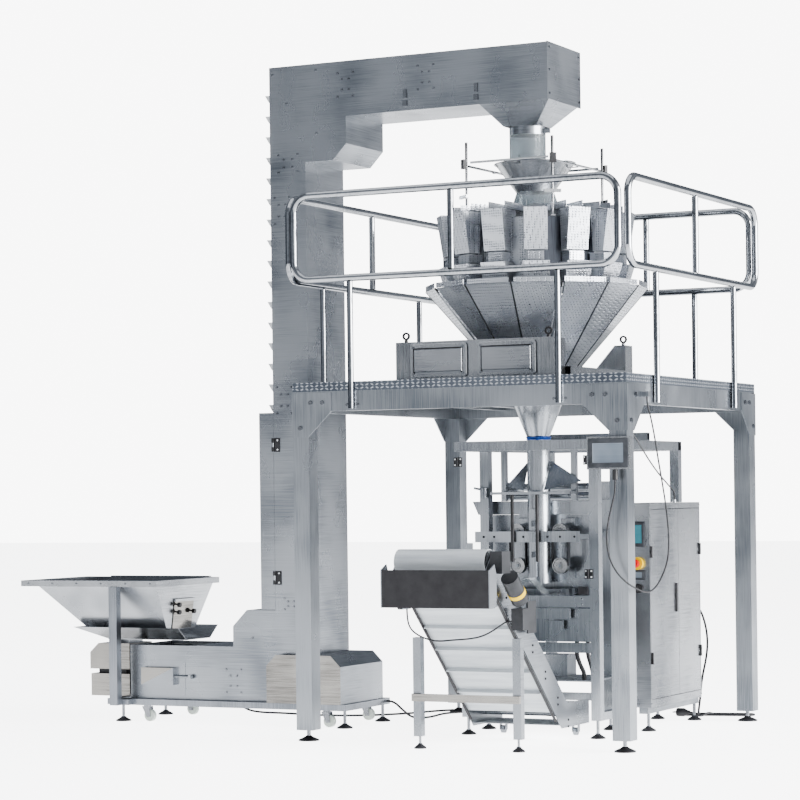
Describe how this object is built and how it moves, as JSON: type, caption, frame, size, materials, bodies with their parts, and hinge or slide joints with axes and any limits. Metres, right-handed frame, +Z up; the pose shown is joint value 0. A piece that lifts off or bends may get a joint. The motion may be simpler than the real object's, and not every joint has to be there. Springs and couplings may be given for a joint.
{
  "type": "vertical form fill seal packing line",
  "caption": "Vertical form, fill and seal bagger under a platform with a multi-head weigher, fed by a bucket elevator, with a take-off conveyor and control cabinet.",
  "frame": {"origin": "middle of the line's footprint on the floor", "axes": "+X along the line from the feed hopper to the bagger, +Y from the operator's side to the back, +Z up"},
  "size_m": [3.9376, 2.6775, 3.533],
  "materials": {
    "frame_steel": "brushed stainless tube",
    "checker_plate": "checkered tread plate",
    "rail_chrome": "polished stainless tube",
    "foot_black": "black rubber pads on steel studs",
    "bolt_steel": "polished hexagon heads",
    "case_steel": "brushed stainless sheet",
    "bucket_plastic": "white moulded buckets",
    "base_steel": "brushed stainless channel",
    "drive_paint": "black and grey drive housings",
    "clear_plastic": "clear acrylic",
    "hopper_steel": "brushed stainless sheet",
    "dimple_steel": "dimpled and brushed stainless sheet",
    "weigher_steel": "brushed stainless sheet",
    "bagger_steel": "brushed stainless",
    "cabinet_steel": "brushed stainless sheet",
    "panel_parts": "operator controls",
    "hinge_black": "black hinges",
    "conveyor_steel": "brushed stainless",
    "belt_white": "white food belt with flights",
    "guard_black": "black plastic",
    "hose_black": "black hose",
    "cable_black": "black cable jacket",
    "sprocket_steel": "machined steel",
    "caster_steel": "bright plated steel",
    "wheel_nylon": "pale nylon",
    "pulley_alu": "turned aluminium",
    "film": "wound packing film",
    "stop_red": "red mushroom head",
    "knob_black": "black selector knob",
    "roller": "coated drive roller"
  },
  "bodies": {
    "line": {"platform_frame": "frame_steel", "deck_plates": "checker_plate", "handrails": "rail_chrome", "leveling_feet": "foot_black", "fasteners": "bolt_steel", "elevator_casing": "case_steel", "bolted_covers": "case_steel", "bucket_chain": "bucket_plastic", "elevator_base": "base_steel", "drive_units": "drive_paint", "clear_tubes": "clear_plastic", "feed_hopper": "hopper_steel", "weigher_body": "dimple_steel", "weigher_buckets": "dimple_steel", "chute_panels": "dimple_steel", "weigher_base": "weigher_steel", "infeed_funnel": "weigher_steel", "bagger_frame": "bagger_steel", "bagger_panels": "bagger_steel", "forming_set": "bagger_steel", "control_cabinet": "cabinet_steel", "operator_panel": "panel_parts", "door_hinges": "hinge_black", "conveyor_frame": "conveyor_steel", "conveyor_belt": "belt_white", "conveyor_guards": "guard_black", "air_hoses": "hose_black", "panel_cable": "cable_black", "sensor_cable": "cable_black", "elevator_cable": "cable_black", "feeder_cable": "cable_black", "deck_cable": "cable_black", "mains_cable": "cable_black", "mains_hank": "cable_black", "mains_plug": "cable_black"},
    "elevator_door": {"elevator_door": "case_steel"},
    "drive_sprockets": {"drive_sprockets": "sprocket_steel"},
    "hopper_gate": {"hopper_gate": "hopper_steel"},
    "vibrating_tray": {"vibrating_tray": "hopper_steel"},
    "caster_fork_1": {"caster_fork_1": "caster_steel"},
    "caster_wheel_1": {"caster_wheel_1": "wheel_nylon"},
    "caster_fork_2": {"caster_fork_2": "caster_steel"},
    "caster_wheel_2": {"caster_wheel_2": "wheel_nylon"},
    "caster_fork_3": {"caster_fork_3": "caster_steel"},
    "caster_wheel_3": {"caster_wheel_3": "wheel_nylon"},
    "caster_fork_4": {"caster_fork_4": "caster_steel"},
    "caster_wheel_4": {"caster_wheel_4": "wheel_nylon"},
    "pulley_upper_left": {"pulley_upper_left": "pulley_alu"},
    "pulley_lower_left": {"pulley_lower_left": "pulley_alu"},
    "pulley_upper_right": {"pulley_upper_right": "pulley_alu"},
    "pulley_lower_right": {"pulley_lower_right": "pulley_alu"},
    "film_roll": {"film_roll": "film"},
    "vertical_seal_bar": {"vertical_seal_bar": "bagger_steel"},
    "front_jaw": {"front_jaw": "bagger_steel"},
    "rear_jaw": {"rear_jaw": "bagger_steel"},
    "cabinet_door_front": {"cabinet_door_front": "cabinet_steel"},
    "cabinet_door_rear": {"cabinet_door_rear": "cabinet_steel"},
    "emergency_stop": {"emergency_stop": "stop_red"},
    "selector_switch": {"selector_switch": "knob_black"},
    "conveyor_roller": {"conveyor_roller": "roller"}
  },
  "joints": [
    {"name": "elevator_door_hinge", "type": "hinge", "parent": "line", "child": "elevator_door", "pos_m": [-0.399, 0.025, 1.15], "axis": [0, 0, 1], "range_deg": [0, 110]},
    {"name": "chain_drive_spin", "type": "hinge", "parent": "line", "child": "drive_sprockets", "pos_m": [-0.287, 0.248, 0.26], "axis": [0, 1, 0], "continuous": true},
    {"name": "hopper_gate_slide", "type": "slide", "parent": "line", "child": "hopper_gate", "axis": [0.1215, 0, 0.9926], "range_m": [0, 0.07]},
    {"name": "tray_vibration", "type": "slide", "parent": "line", "child": "vibrating_tray", "axis": [1, 0, 0], "range_m": [-0.003, 0.003], "stiffness_N_per_m": 50000},
    {"name": "caster_swivel_1", "type": "hinge", "parent": "line", "child": "caster_fork_1", "pos_m": [-1.209, 0.023, 0.085], "axis": [0, 0, 1], "continuous": true},
    {"name": "caster_spin_1", "type": "hinge", "parent": "caster_fork_1", "child": "caster_wheel_1", "pos_m": [-1.191, 0.023, 0.036], "axis": [0, 1, 0], "continuous": true},
    {"name": "caster_swivel_2", "type": "hinge", "parent": "line", "child": "caster_fork_2", "pos_m": [-1.209, 0.473, 0.085], "axis": [0, 0, 1], "continuous": true},
    {"name": "caster_spin_2", "type": "hinge", "parent": "caster_fork_2", "child": "caster_wheel_2", "pos_m": [-1.191, 0.473, 0.036], "axis": [0, 1, 0], "continuous": true},
    {"name": "caster_swivel_3", "type": "hinge", "parent": "line", "child": "caster_fork_3", "pos_m": [-0.089, 0.023, 0.085], "axis": [0, 0, 1], "continuous": true},
    {"name": "caster_spin_3", "type": "hinge", "parent": "caster_fork_3", "child": "caster_wheel_3", "pos_m": [-0.071, 0.023, 0.036], "axis": [0, 1, 0], "continuous": true},
    {"name": "caster_swivel_4", "type": "hinge", "parent": "line", "child": "caster_fork_4", "pos_m": [-0.089, 0.473, 0.085], "axis": [0, 0, 1], "continuous": true},
    {"name": "caster_spin_4", "type": "hinge", "parent": "caster_fork_4", "child": "caster_wheel_4", "pos_m": [-0.071, 0.473, 0.036], "axis": [0, 1, 0], "continuous": true},
    {"name": "pulley_upper_left_spin", "type": "hinge", "parent": "line", "child": "pulley_upper_left", "pos_m": [0.936, 0.248, 1.032], "axis": [0, 1, 0], "continuous": true},
    {"name": "pulley_lower_left_spin", "type": "hinge", "parent": "line", "child": "pulley_lower_left", "pos_m": [0.936, 0.248, 0.856], "axis": [0, 1, 0], "continuous": true},
    {"name": "pulley_upper_right_spin", "type": "hinge", "parent": "line", "child": "pulley_upper_right", "pos_m": [1.176, 0.248, 1.032], "axis": [0, 1, 0], "continuous": true},
    {"name": "pulley_lower_right_spin", "type": "hinge", "parent": "line", "child": "pulley_lower_right", "pos_m": [1.176, 0.248, 0.856], "axis": [0, 1, 0], "continuous": true},
    {"name": "film_roll_spin", "type": "hinge", "parent": "line", "child": "film_roll", "pos_m": [1.091, 0.748, 1.085], "axis": [1, 0, 0], "continuous": true},
    {"name": "vertical_seal_press", "type": "slide", "parent": "line", "child": "vertical_seal_bar", "axis": [0, 1, 0], "range_m": [0, 0.012]},
    {"name": "front_jaw_close", "type": "slide", "parent": "line", "child": "front_jaw", "axis": [0, 1, 0], "range_m": [0, 0.016]},
    {"name": "rear_jaw_close", "type": "slide", "parent": "line", "child": "rear_jaw", "axis": [0, -1, 0], "range_m": [0, 0.016]},
    {"name": "cabinet_door_front_hinge", "type": "hinge", "parent": "line", "child": "cabinet_door_front", "pos_m": [1.622, 0.388, 0.65], "axis": [0, 0, -1], "range_deg": [0, 100]},
    {"name": "cabinet_door_rear_hinge", "type": "hinge", "parent": "line", "child": "cabinet_door_rear", "pos_m": [1.622, 1.103, 0.65], "axis": [0, 0, 1], "range_deg": [0, 70]},
    {"name": "emergency_stop_press", "type": "slide", "parent": "line", "child": "emergency_stop", "axis": [0, 1, 0], "range_m": [0, 0.006], "stiffness_N_per_m": 600},
    {"name": "selector_turn", "type": "hinge", "parent": "line", "child": "selector_switch", "pos_m": [1.554, 0.358, 0.735], "axis": [0, -1, 0], "range_deg": [-45, 45]},
    {"name": "conveyor_roller_spin", "type": "hinge", "parent": "line", "child": "conveyor_roller", "pos_m": [1.132, -1.052, 0.912], "axis": [1, 0, 0], "continuous": true}
  ],
  "couplings": [
    {"joint": "pulley_lower_left_spin", "follows": "pulley_upper_left_spin", "ratio": 1},
    {"joint": "pulley_upper_right_spin", "follows": "pulley_upper_left_spin", "ratio": -1},
    {"joint": "pulley_lower_right_spin", "follows": "pulley_upper_left_spin", "ratio": -1},
    {"joint": "rear_jaw_close", "follows": "front_jaw_close", "ratio": 1}
  ]
}
